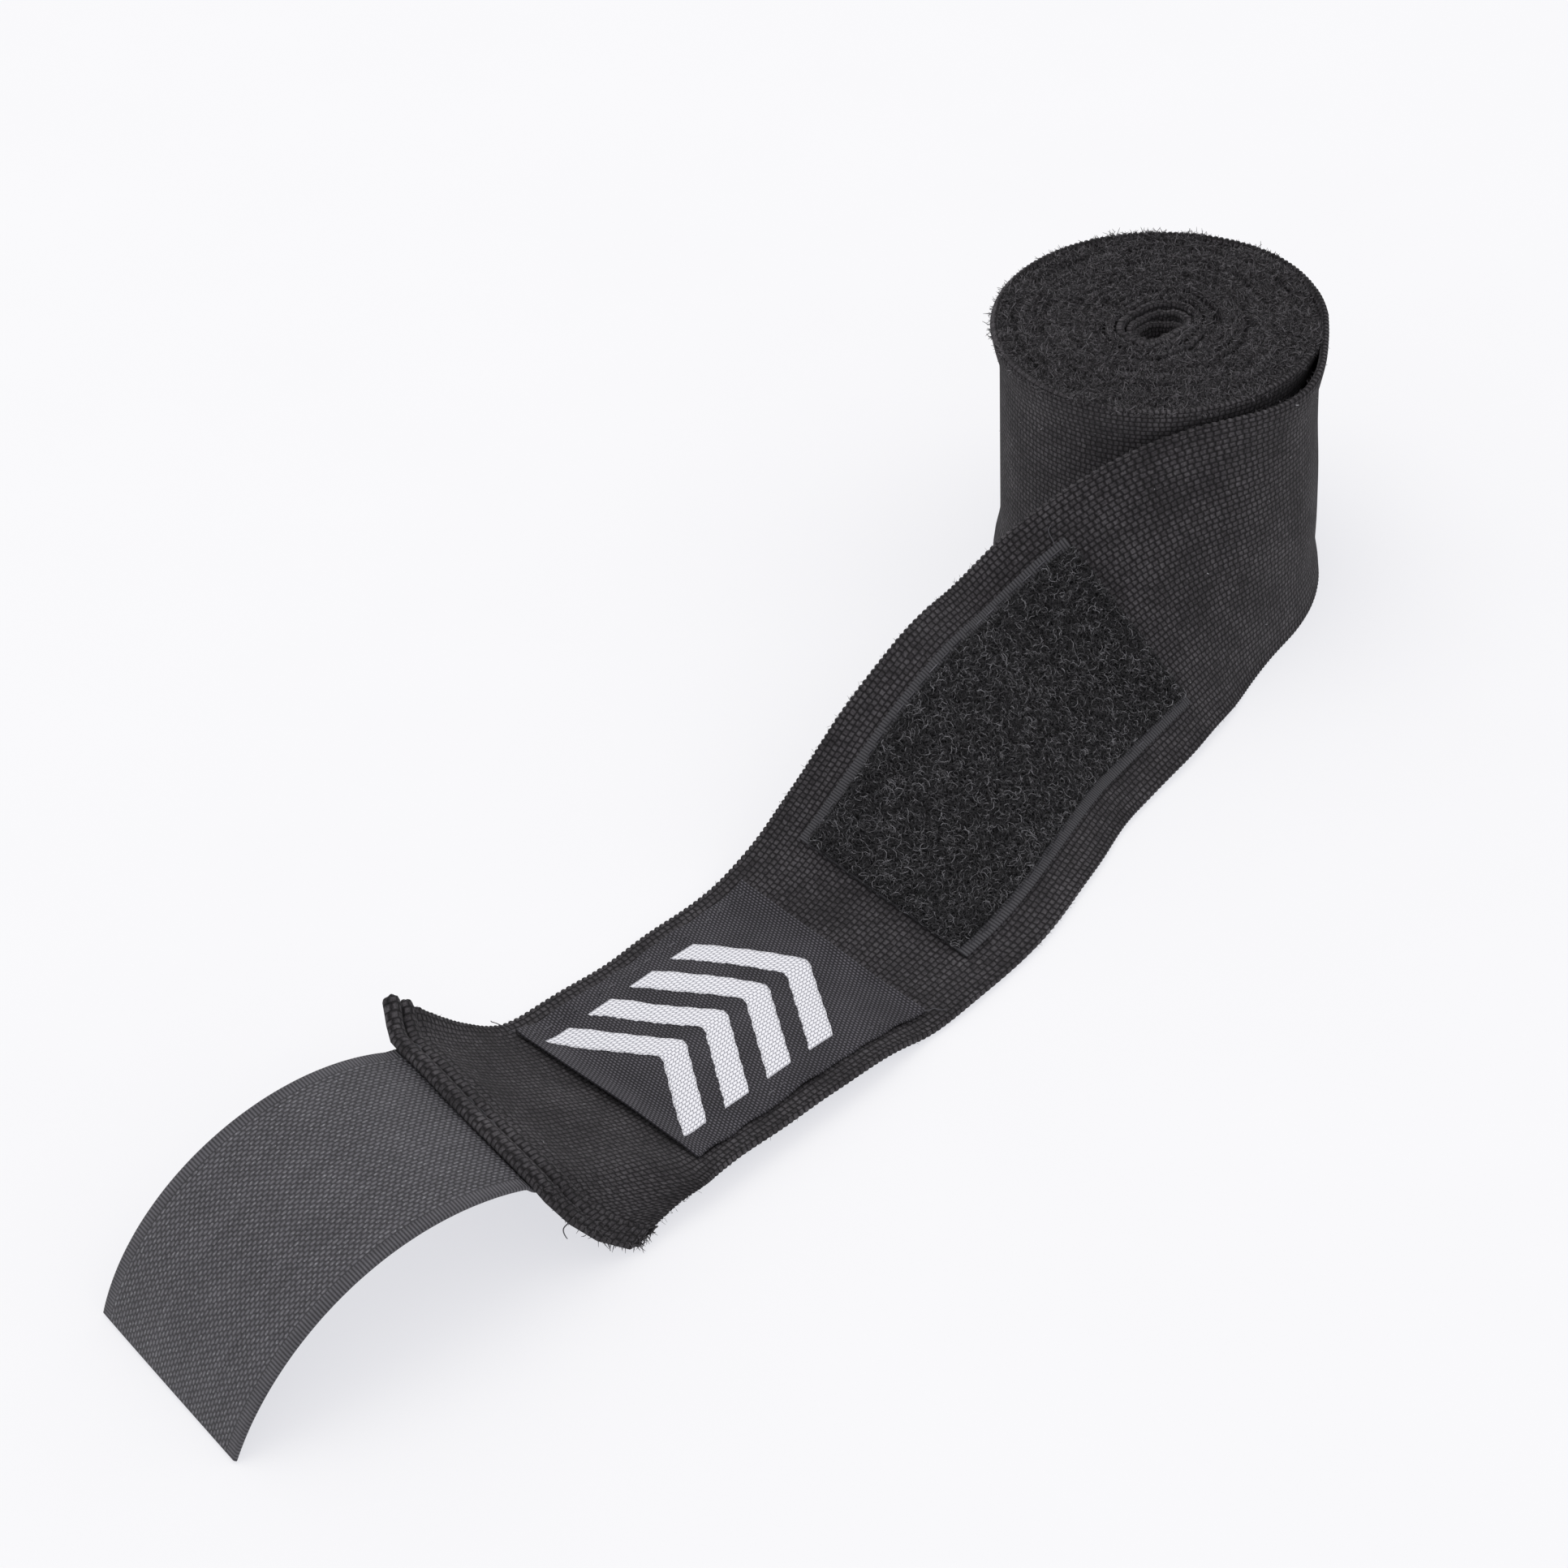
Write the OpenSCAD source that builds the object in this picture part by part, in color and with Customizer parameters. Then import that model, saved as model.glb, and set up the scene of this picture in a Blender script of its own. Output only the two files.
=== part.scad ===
// Boxing hand wrap: an elastic cotton band, rolled up from its thumb loop, with the last
// stretch unrolled over the floor. Millimetres, +Z up. The roll stands on z = 0 at the +X
// end, the unrolled stretch runs along -X, and the origin is the middle of the footprint.

/* [Band] */
// Width of the elastic band
band_w = 50; // [46:1:54]
// Thickness of the elastic band
band_t = 1.1; // [0.9:0.1:1.1]

/* [Roll] */
// Number of turns on the roll
turns = 20; // [12:1:20]
// Spacing of the turns
turn_pitch = 1.22; // [1.2:0.01:1.24]
// Radius of the band's middle where it leaves the roll
leave_r = 30.2; // [30.2:0.1:30.6]

/* [Loop patch] */
// Length of the loop patch along the band
patch_len = 72; // [60:2:74]
// Height of the loop pile over its tape
pile_h = 2; // [1:0.5:2.5]

/* [Label] */
// Length of the woven label along the band
label_len = 50; // [48:1:52]
// Width of the woven label across the band
label_w = 43; // [40:1:44]

/* [Hook tab] */
// Width of the hook tape and of the loop patch
tape_w = 37; // [33:1:38]
// Thickness of the hook tape
tape_t = 0.9; // [0.7:0.1:1]
// Radius that the tab springs back to
tab_r = 41; // [37:1:41]
// Angle that the arched tab turns through
tab_turn = 88; // [80:1:88]
// Height of the hooks under the tape
hook_h = 1.2; // [0.8:0.1:1.4]

/* [Thumb loop] */
// Width of the thumb loop's tape
thumb_w = 15; // [12:1:20]
// Thickness of the thumb loop's tape
thumb_t = 0.9; // [0.7:0.1:1]

/* [Hidden] */

black = [0.07, 0.07, 0.075];
dark_grey = [0.22, 0.22, 0.24];
off_white = [0.9, 0.9, 0.92];

// Distance along the unrolled band, measured from where it leaves the roll
step = 2;
hem_s = 230;
bend_s = 144;
patch_s = 66;
label_s = 150;
rise_s = 195;
flap_len = 10;
root_len = 12;

// Room on each side of a fold that a joint bends
fold_gap = 0.25;
tab_gap = 0.3;

// Where the roll stands, and where on it the band leaves
roll_at = [111.2, 15.2];
leave_angle = -45;

// The unrolled band leaves the roll along its side and upright. From there it swings in
// round the roll, out beside the loop patch and straight again, while it drops flat in two
// stages and levels at the hem: [degrees, distance where it starts, distance where it ends]
swings = [[-63, 0, 48], [30, 46, 104], [-13, 114, 146], [-4, 200, 230]];
drops = [[-58, 22, 90], [-36, 90, 170], [6, 200, 230]];

// Rows across the band that every layer on it shares, so that layers meet face to face
pile_w = 31;
rows = [-band_w / 2, -label_w / 2, -tape_w / 2, -pile_w / 2, -pile_w / 4, 0, pile_w / 4,
        pile_w / 2, tape_w / 2, label_w / 2, band_w / 2];

// ---- The band's path ----

function ease(s, from, to) =
    let(u = min(1, max(0, (s - from) / (to - from))))
    u * u * (3 - 2 * u);

// Degrees that the stages of a list have added up to by distance s
function added(s, stages, k = 0) =
    k == len(stages) ? 0 :
    stages[k][0] * ease(s, stages[k][1], stages[k][2]) + added(s, stages, k + 1);

// Heading in plan, and lean from flat
function heading_at(s) = leave_angle + 270 + added(s, swings);
function lean_at(s) = 90 + added(s, drops);

// The end of the band climbs off the floor towards its hem
rise_slope = 0.6;
rise_blend = 10;
function rise(s) =
    let(u = max(0, s - rise_s))
    rise_slope * (u < rise_blend ? u * u / (2 * rise_blend) : u - rise_blend / 2);

// Height of the band's middle, with its lower edge kept on the floor
edge_soft = 0.03;
function mid_z(s) =
    let(lean = lean_at(s), n = sin(lean))
    band_w / 2 * sqrt(n * n + edge_soft * edge_soft) + band_t / 2 * cos(lean);

count = hem_s / step;
heights = [for (i = [0:count]) mid_z(i * step)];
climbs = [for (i = [0:count - 1])
    heights[i + 1] - heights[i] + rise((i + 1) * step) - rise(i * step)];
moves = [for (i = [0:count - 1])
    let(run = sqrt(step * step - climbs[i] * climbs[i]), a = heading_at((i + 0.5) * step))
    run * [cos(a), sin(a)]];
start = roll_at + leave_r * [cos(leave_angle), sin(leave_angle)];
plan = [for (i = 0, p = start; i <= count; p = p + (i < count ? moves[i] : [0, 0]), i = i + 1) p];
middle = [for (i = [0:count]) [plan[i][0], plan[i][1], heights[i] + rise(i * step)]];

function unit(v) = v / norm(v);
along = [for (i = [0:count]) unit(middle[min(i + 1, count)] - middle[max(i - 1, 0)])];
side = [for (h = along) unit([h[1], -h[0], 0])];
across = [for (i = [0:count])
    let(a = lean_at(i * step)) cos(a) * side[i] + sin(a) * cross(side[i], along[i])];
normal = [for (i = [0:count])
    let(a = lean_at(i * step)) cos(a) * cross(side[i], along[i]) - sin(a) * side[i]];

function read(list, s) =
    let(i = min(floor(s / step), count - 1), u = s / step - i)
    list[i] * (1 - u) + list[i + 1] * u;

// Past the tape's sides the hem's corners are free: the lower one is turned back and hangs
// to the floor, the upper one curls up
hem_start = 200;
lower_back = 14;
upper_back = 4;
upper_curl = 5;
function share(s) = max(0, (s - hem_start) / (hem_s - hem_start));
function beyond(t) = max(0, (t - tape_w / 2) / (band_w / 2 - tape_w / 2));
function corner(s, t) =
    s - (lower_back * pow(beyond(-t), 1.5) + upper_back * pow(beyond(t), 1.5)) * share(s);
function lift(s, t) =
    upper_curl * pow(beyond(t), 2) * share(s) - rise(s) * pow(beyond(-t), 1.3);

// Point of the band at distance s, t across it and n above its middle layer
function on_band(s, t, n = 0) =
    let(q = corner(s, t))
    read(middle, q) + t * read(across, q) + n * read(normal, q) + [0, 0, lift(q, t)];

// ---- Shapes that repeat ----

function rows_within(half) = [for (r = rows) if (abs(r) <= half + 0.01) r];
function stations(from, to) =
    concat([from], [for (i = [ceil(from / step + 0.01):floor(to / step - 0.01)]) i * step], [to]);

// A layer on the band, from s0 to s1, within half a width, between two heights
module layer(s0, s1, half, low, high) {
    ss = stations(s0, s1);
    tt = rows_within(half);
    ns = len(ss);
    nt = len(tt);
    bottom = [for (s = ss) for (t = tt) on_band(s, t, low)];
    top = [for (s = ss) for (t = tt) on_band(s, t, high)];
    size = ns * nt;
    function quad(a, b, c, d) = [[a, b, c], [a, c, d]];
    faces = concat(
        [for (i = [0:ns - 2]) for (j = [0:nt - 2]) let(k = i * nt + j)
            each [[size + k, size + k + 1, size + k + nt + 1],
                  [size + k, size + k + nt + 1, size + k + nt]]],
        [for (i = [0:ns - 2]) for (j = [0:nt - 2]) let(k = i * nt + j)
            each [[k, k + nt + 1, k + 1], [k, k + nt, k + nt + 1]]],
        [for (i = [0:ns - 2]) let(k = i * nt)
            each quad(k, size + k, size + k + nt, k + nt)],
        [for (i = [0:ns - 2]) let(k = i * nt + nt - 1)
            each quad(k, k + nt, size + k + nt, size + k)],
        [for (j = [0:nt - 2]) let(k = j)
            each quad(k, k + 1, size + k + 1, size + k)],
        [for (j = [0:nt - 2]) let(k = (ns - 1) * nt + j)
            each quad(k, size + k, size + k + 1, k + 1)]);
    polyhedron(concat(bottom, top), faces);
}

// Places its children on the band, with x along it and y across it
module on_surface(s, t, n) {
    p = on_band(s, t, n);
    x = unit(on_band(s + 1, t, n) - on_band(s - 1, t, n));
    z = unit(cross(x, on_band(s, t + 0.5, n) - on_band(s, t - 0.5, n)) * -1);
    y = cross(z, x);
    multmatrix([[x[0], y[0], z[0], p[0]], [x[1], y[1], z[1], p[1]], [x[2], y[2], z[2], p[2]]])
        children();
}

thread_d = 0.45;
stitch_pitch = 3.2;
stitch_len = 2.3;
module stitch(turned) {
    rotate([0, 0, turned ? 90 : 0])
        cube([stitch_len, thread_d, thread_d], center = true);
}

// A run of stitches along the band at t, or across it at s
module stitches_along(s0, s1, t, n) {
    number = floor((s1 - s0) / stitch_pitch);
    for (i = [0:number - 1]) on_surface(s0 + (i + 0.5) * (s1 - s0) / number, t, n) stitch(false);
}
module stitches_across(s, half, n) {
    number = floor(2 * half / stitch_pitch);
    for (i = [0:number - 1]) on_surface(s, -half + (i + 0.5) * 2 * half / number, n) stitch(true);
}

// ---- The roll ----

// Radius of the band's middle, u degrees back from where it leaves the roll
peel_angle = 60;
peel = 1.1;
function turn_r(u) =
    leave_r - peel - turn_pitch * u / 360 + peel * pow(max(0, 1 - u / peel_angle), 2);
function on_turn(u, out) = (turn_r(u) + out) * [cos(leave_angle + u), sin(leave_angle + u)];
turn_step = 12;
first_u = fold_gap / leave_r * 180 / PI;
function roll_edge(out) =
    [for (u = [0:turn_step:360 * turns]) on_turn(max(u, first_u), out)];
function reversed(list) = [for (i = [len(list) - 1:-1:0]) list[i]];

module band_roll() {
    color(black)
        translate(roll_at)
            linear_extrude(band_w)
                polygon(concat(roll_edge(band_t / 2), reversed(roll_edge(-band_t / 2))));
}

// The thumb loop is pressed flat in the core: two runs of tape joined at both ends
core_play = 0.4;
core_r = turn_r(360 * turns) - band_t / 2 - core_play;
loop_run = 4.2;
loop_turn = 30;
module loop_outline(r) {
    translate([-loop_run / 2, -r]) square([loop_run, 2 * r]);
    translate([-loop_run / 2, 0]) circle(r);
    translate([loop_run / 2, 0]) circle(r);
}
loop_outer = core_r - loop_run / 2;
module thumb_loop() {
    color(black)
        translate([roll_at[0], roll_at[1], (band_w - thumb_w) / 2])
            linear_extrude(thumb_w)
                rotate(loop_turn)
                    difference() {
                        loop_outline(loop_outer, $fn = 32);
                        loop_outline(loop_outer - thumb_t, $fn = 32);
                    }
}

bartack_gap = 4;
bartack_len = 3;
module thumb_loop_stitching() {
    color(dark_grey)
        translate(roll_at)
            rotate(loop_turn)
                for (k = [-1:1])
                    translate([0, loop_outer, band_w / 2 + k * bartack_gap])
                        cube([bartack_len, thread_d, thread_d], center = true);
}

// ---- The unrolled band and what is sewn on it ----

module band_tail() {
    color(black) layer(fold_gap, bend_s - fold_gap, band_w / 2, -band_t / 2, band_t / 2);
}

loop_tape_t = 0.5;
module loop_tape() {
    color(dark_grey)
        layer(patch_s, patch_s + patch_len, tape_w / 2, band_t / 2, band_t / 2 + loop_tape_t);
}

pile_margin = 2;
module loop_pile() {
    low = band_t / 2 + loop_tape_t;
    color(black)
        layer(patch_s + pile_margin, patch_s + patch_len - pile_margin, pile_w / 2,
              low, low + pile_h);
}

module loop_stitching() {
    n = band_t / 2 + loop_tape_t;
    edge = tape_w / 2 - 1.5;
    color(black) {
        for (t = [-edge, edge]) stitches_along(patch_s + 2, patch_s + patch_len - 2, t, n);
        for (s = [patch_s + 1, patch_s + patch_len - 1]) stitches_across(s, edge - 2, n);
    }
}

module band_end() {
    color(black) layer(bend_s + fold_gap, hem_s, band_w / 2, -band_t / 2, band_t / 2);
}

label_t = 0.35;
module label() {
    color(black)
        layer(label_s, label_s + label_len, label_w / 2, band_t / 2, band_t / 2 + label_t);
}

// Generic woven motif: a stack of chevrons in white thread
motif_t = 0.15;
chevron_w = 5;
chevron_gap = 9;
chevron_step = 2.1;
chevron_slope = 0.62;
module chevron(at_s) {
    n = band_t / 2 + label_t + motif_t / 2;
    for (i = [-8:7])
        let(t = (i + 0.5) * chevron_step)
            on_surface(at_s + abs(t) * chevron_slope, t, n)
                cube([chevron_w, chevron_step, motif_t], center = true);
}
module label_motif() {
    first = 8;
    color(off_white) for (k = [0:3]) chevron(label_s + first + k * chevron_gap);
}

module label_stitching() {
    n = band_t / 2 + label_t;
    edge = label_w / 2 - 2;
    color(black) for (t = [-edge, edge]) stitches_along(label_s + 1, label_s + label_len - 1, t, n);
}

// The band's end is folded under, and the hook tape is sewn in below it
module hem_flap() {
    color(black)
        layer(hem_s - flap_len, hem_s, label_w / 2, -1.5 * band_t, -band_t / 2);
}
module hook_tape_root() {
    color(dark_grey)
        layer(hem_s - root_len, hem_s, tape_w / 2, -1.5 * band_t - tape_t, -1.5 * band_t);
}

module hem_stitching() {
    color(black)
        for (s = [hem_s - 5, hem_s - 2]) stitches_across(s, tape_w / 2, band_t / 2);
}

// ---- The arched hook tab ----

tape_mid = -1.5 * band_t - tape_t / 2;
tab_start = on_band(hem_s, 0, tape_mid);
tab_heading = atan2(along[count][1], along[count][0]);
tab_rise = 26;

// A strip that follows the tab's arc, between two heights over its middle
module tab_strip(angle_in, angle_out, width, low, high) {
    translate(tab_start)
        rotate([0, 0, tab_heading])
            rotate([90, 0, 0])
                translate([tab_r * sin(tab_rise), -tab_r * cos(tab_rise), 0])
                    rotate([0, 0, 90 + tab_rise])
                        rotate([0, 0, -angle_out])
                            rotate_extrude(angle = angle_out - angle_in, $fn = 180)
                                translate([tab_r + low, -width / 2])
                                    square([high - low, width]);
}

function tab_angle(length) = length / tab_r * 180 / PI;
hook_margin = 3;
hook_inset = 2;
module hook_tape() {
    color(dark_grey)
        tab_strip(tab_angle(2 * tab_gap), tab_turn, tape_w, -tape_t / 2, tape_t / 2);
}
module hook_field() {
    color(black)
        tab_strip(tab_angle(2 * tab_gap + hook_inset), tab_turn - tab_angle(hook_inset),
                  tape_w - 2 * hook_margin, -tape_t / 2 - hook_h, -tape_t / 2);
}

band_roll();
thumb_loop();
thumb_loop_stitching();
band_tail();
loop_tape();
loop_pile();
loop_stitching();
band_end();
label();
label_motif();
label_stitching();
hem_flap();
hook_tape_root();
hem_stitching();
hook_tape();
hook_field();
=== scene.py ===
import bpy
import math
import numpy as np
from mathutils import Matrix, Vector


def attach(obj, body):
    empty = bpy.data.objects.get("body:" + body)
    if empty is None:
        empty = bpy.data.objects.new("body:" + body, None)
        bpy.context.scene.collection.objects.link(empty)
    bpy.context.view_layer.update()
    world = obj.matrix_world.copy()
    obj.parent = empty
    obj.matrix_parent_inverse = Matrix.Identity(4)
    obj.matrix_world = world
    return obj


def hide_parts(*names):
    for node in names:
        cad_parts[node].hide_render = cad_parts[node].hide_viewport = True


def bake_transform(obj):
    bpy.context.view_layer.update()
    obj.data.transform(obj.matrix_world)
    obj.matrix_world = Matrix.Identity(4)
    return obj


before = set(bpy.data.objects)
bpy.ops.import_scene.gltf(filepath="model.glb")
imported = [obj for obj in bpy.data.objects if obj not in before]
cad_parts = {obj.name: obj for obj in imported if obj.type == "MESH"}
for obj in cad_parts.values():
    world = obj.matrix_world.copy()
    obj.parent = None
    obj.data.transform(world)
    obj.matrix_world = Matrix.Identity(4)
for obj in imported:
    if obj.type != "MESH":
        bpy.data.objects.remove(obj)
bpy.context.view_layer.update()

# Lengths here are millimetres, in the part's frame, and make_mixed() turns them into
# metres. S is a distance along the unrolled band from where it leaves the roll.
BAND_W, BAND_T, TAPE_W, TAPE_T = 50.0, 1.1, 37.0, 0.9
HEM_S, PATCH_S, PATCH_LEN = 230.0, 66.0, 72.0
LABEL_S, LABEL_LEN, LABEL_W = 150.0, 50.0, 43.0
TURNS, PITCH, LEAVE_R, LEAVE_ANGLE = 20, 1.22, 30.2, -45.0
PEEL, PEEL_ANGLE = 1.1, 60.0
TAB_R, TAB_TURN, TAB_RISE = 41.0, 88.0, 26.0
ROLL_AT = np.array([111.2, 15.2])
# The unrolled band's swings in plan and its drops from upright to flat, as in the part:
# (degrees, distance where it starts, distance where it ends)
SWINGS = ((-63, 0, 48), (30, 46, 104), (-13, 114, 146), (-4, 200, 230))
DROPS = ((-58, 22, 90), (-36, 90, 170), (6, 200, 230))
# How the band's middle is kept so that its lower edge stays on the floor
EDGE_SOFT = 0.03
# The band climbs off the floor towards the hem, from RISE_S on
RISE_S, RISE_SLOPE, RISE_BLEND = 195.0, 0.6, 10
# The hem's free corners: from CORNER_S on they are turned back, and the upper one curls up
CORNER_S, LOWER_BACK, UPPER_BACK, UPPER_CURL = 200, 14, 4, 5
CORNER_W = (BAND_W - TAPE_W) / 2
# One knitted stitch along the band, one row across it, and how far every other row is moved
STITCH, ROW, SHIFT = 1.08, 1.0, 0.22

rng = np.random.default_rng(11)


# ---------------------------------------------------------------- small maths

def unit(v):
    return v / np.maximum(np.linalg.norm(v, axis=-1, keepdims=True), 1e-9)


def smooth(x, a, b):
    u = np.clip((x - a) / (b - a), 0, 1)
    return u * u * (3 - 2 * u)


def waves(n, low, high, size):
    """A smooth random function of (x, y): n sine waves of wavelengths from low to high."""
    k = 2 * math.pi / rng.uniform(low, high, n)
    a = rng.uniform(0, 2 * math.pi, n)
    p = rng.uniform(0, 2 * math.pi, n)
    kx, ky = k * np.cos(a), k * np.sin(a)

    def value(x, y):
        x, y = np.broadcast_arrays(np.asarray(x, float), np.asarray(y, float))
        out = np.zeros(x.shape)
        for i in range(n):
            out += np.sin(kx[i] * x + ky[i] * y + p[i])
        return out * size / math.sqrt(n)
    return value


# ---------------------------------------------------------------- the band's path

def added(s, stages):
    """Degrees that the stages of a list have added up to by distance s."""
    return sum(by * smooth(s, a, b) for by, a, b in stages)


def rise(s):
    u = np.clip(s - RISE_S, 0, None)
    blended = np.where(u < RISE_BLEND, u * u / (2 * RISE_BLEND), u - RISE_BLEND / 2)
    return RISE_SLOPE * blended


def walk():
    """The band's middle line, with its three directions at each point."""
    n = 460
    near = 4
    s = np.linspace(0, HEM_S, n + 1)
    step = s[1]
    lean = np.radians(90 + added(s, DROPS))
    low_edge = BAND_W / 2 * np.sqrt(np.sin(lean)**2 + EDGE_SOFT**2)
    z = low_edge + BAND_T / 2 * np.cos(lean) + rise(s)
    heading = np.radians(LEAVE_ANGLE + 270 + added((s[1:] + s[:-1]) / 2, SWINGS))
    run = np.sqrt(step**2 - np.diff(z)**2)
    a = math.radians(LEAVE_ANGLE)
    first = ROLL_AT + LEAVE_R * np.array([math.cos(a), math.sin(a)])
    moves = np.stack([run * np.cos(heading), run * np.sin(heading)], -1)
    plan = np.vstack([first, first + np.cumsum(moves, axis=0)])
    mid = np.column_stack([plan, z])
    k = np.arange(n + 1)
    along = unit(mid[np.minimum(k + near, n)] - mid[np.maximum(k - near, 0)])
    side = unit(np.stack([along[:, 1], -along[:, 0], 0 * z], -1))
    up = np.cross(side, along)
    c, q = np.cos(lean)[:, None], np.sin(lean)[:, None]
    return s, mid, along, c * side + q * up, c * up - q * side


PATH_S, MID, ALONG, ACROSS, NORMAL = walk()


def read(table, s):
    return np.stack([np.interp(s, PATH_S, table[:, k]) for k in range(3)], -1)


def turn_r(u):
    """Radius of the wound band's middle, u degrees back from where it leaves the roll."""
    return (LEAVE_R - PEEL - PITCH * u / 360
            + PEEL * np.clip(1 - u / PEEL_ANGLE, 0, None)**2)


# How far the wound band stands out at its selvedges and in at its middle; the flare fades
# out along the unrolled band
def spool(t, s):
    z = t + BAND_W / 2
    f = -0.75 + 1.5 * smooth(z, 42, 48.5) + 1.2 * smooth(z, 9, 1.5)
    hug = 2.0 * smooth(t, -12, 25) * smooth(s, -22, 28) * smooth(s, 62, 42)
    return f * smooth(s, 55, 8) - hug


def swell(u):
    """The outer turns stand fuller beside the place where the band leaves."""
    a = np.mod(u + 180, 360) - 180
    return 0.9 * np.exp(-((a - 44) / 26)**2) * np.clip(1 - u / 1800, 0, 1)


# The roll's rim stands a little over the CAD's height
def rim(t, s):
    return 0.8 * smooth(t, 8, 24) * smooth(s, 25, -15)


def on_band(s, t, n=0.0):
    """Points at distance s along the band, t across and n above its middle, s < 0 on the roll."""
    s, t, n = np.broadcast_arrays(np.asarray(s, float), np.asarray(t, float), np.asarray(n, float))
    share = np.clip((s - CORNER_S) / (HEM_S - CORNER_S), 0, None)
    low = np.clip((-t - TAPE_W / 2) / CORNER_W, 0, None)
    high = np.clip((t - TAPE_W / 2) / CORNER_W, 0, None)
    q = s - (LOWER_BACK * low**1.5 + UPPER_BACK * high**1.5) * np.minimum(share, 1)
    over = np.clip(q - HEM_S, 0, None)
    q = np.clip(q, 0, HEM_S)
    out = n + spool(t, s)
    p = read(MID, q) + t[..., None] * read(ACROSS, q) + out[..., None] * read(NORMAL, q)
    p = p + over[..., None] * read(ALONG, q)
    p[..., 2] += UPPER_CURL * high**2 * np.minimum(share, 1) - rise(q) * low**1.3 + rim(t, s)
    back = s < 0
    if back.any():
        u = -s / LEAVE_R * 180 / math.pi
        r = turn_r(u) + out + swell(u)
        a = np.radians(LEAVE_ANGLE + u)
        w = np.stack([ROLL_AT[0] + r * np.cos(a), ROLL_AT[1] + r * np.sin(a),
                      t + BAND_W / 2 + rim(t, s)], -1)
        p = np.where(back[..., None], w, p)
    return p


HEM_ALONG = ALONG[-1]
TAB_OUT = unit(np.array([HEM_ALONG[0], HEM_ALONG[1], 0.0]))
TAB_SIDE = np.array([TAB_OUT[1], -TAB_OUT[0], 0.0])
TAPE_MID = -1.5 * BAND_T - TAPE_T / 2


def on_tab(d, t, n=0.0):
    """Points at distance d along the hook tape from the hem, t across, n over its middle."""
    d, t, n = np.broadcast_arrays(np.asarray(d, float), np.asarray(t, float), np.asarray(n, float))
    start = on_band(HEM_S, 0.0, TAPE_MID)
    a0 = math.radians(TAB_RISE)
    up = np.array([0, 0, 1.0])
    centre = start + TAB_R * (math.sin(a0) * TAB_OUT - math.cos(a0) * up)
    a = a0 - np.clip(d, 0, None) / TAB_R
    out = -np.sin(a)[..., None] * TAB_OUT + np.cos(a)[..., None] * up
    p = centre + (TAB_R + n)[..., None] * out + t[..., None] * TAB_SIDE
    root = on_band(HEM_S + d, t, TAPE_MID + n)
    w = smooth(d, -1.5, 1.5)[..., None]
    return np.where(d[..., None] > 1.5, p, np.where(d[..., None] < -1.5, root, root * (1 - w) + p * w))


# ---------------------------------------------------------------- mesh making

def ring_faces(rows, cols):
    """Faces of a tube of rows rings with cols points each, with flat ends to be added."""
    i, j = np.meshgrid(np.arange(rows - 1), np.arange(cols), indexing="ij")
    k = (j + 1) % cols
    return np.stack([i * cols + j, i * cols + k, (i + 1) * cols + k, (i + 1) * cols + j],
                    -1).reshape(-1, 4)


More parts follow.
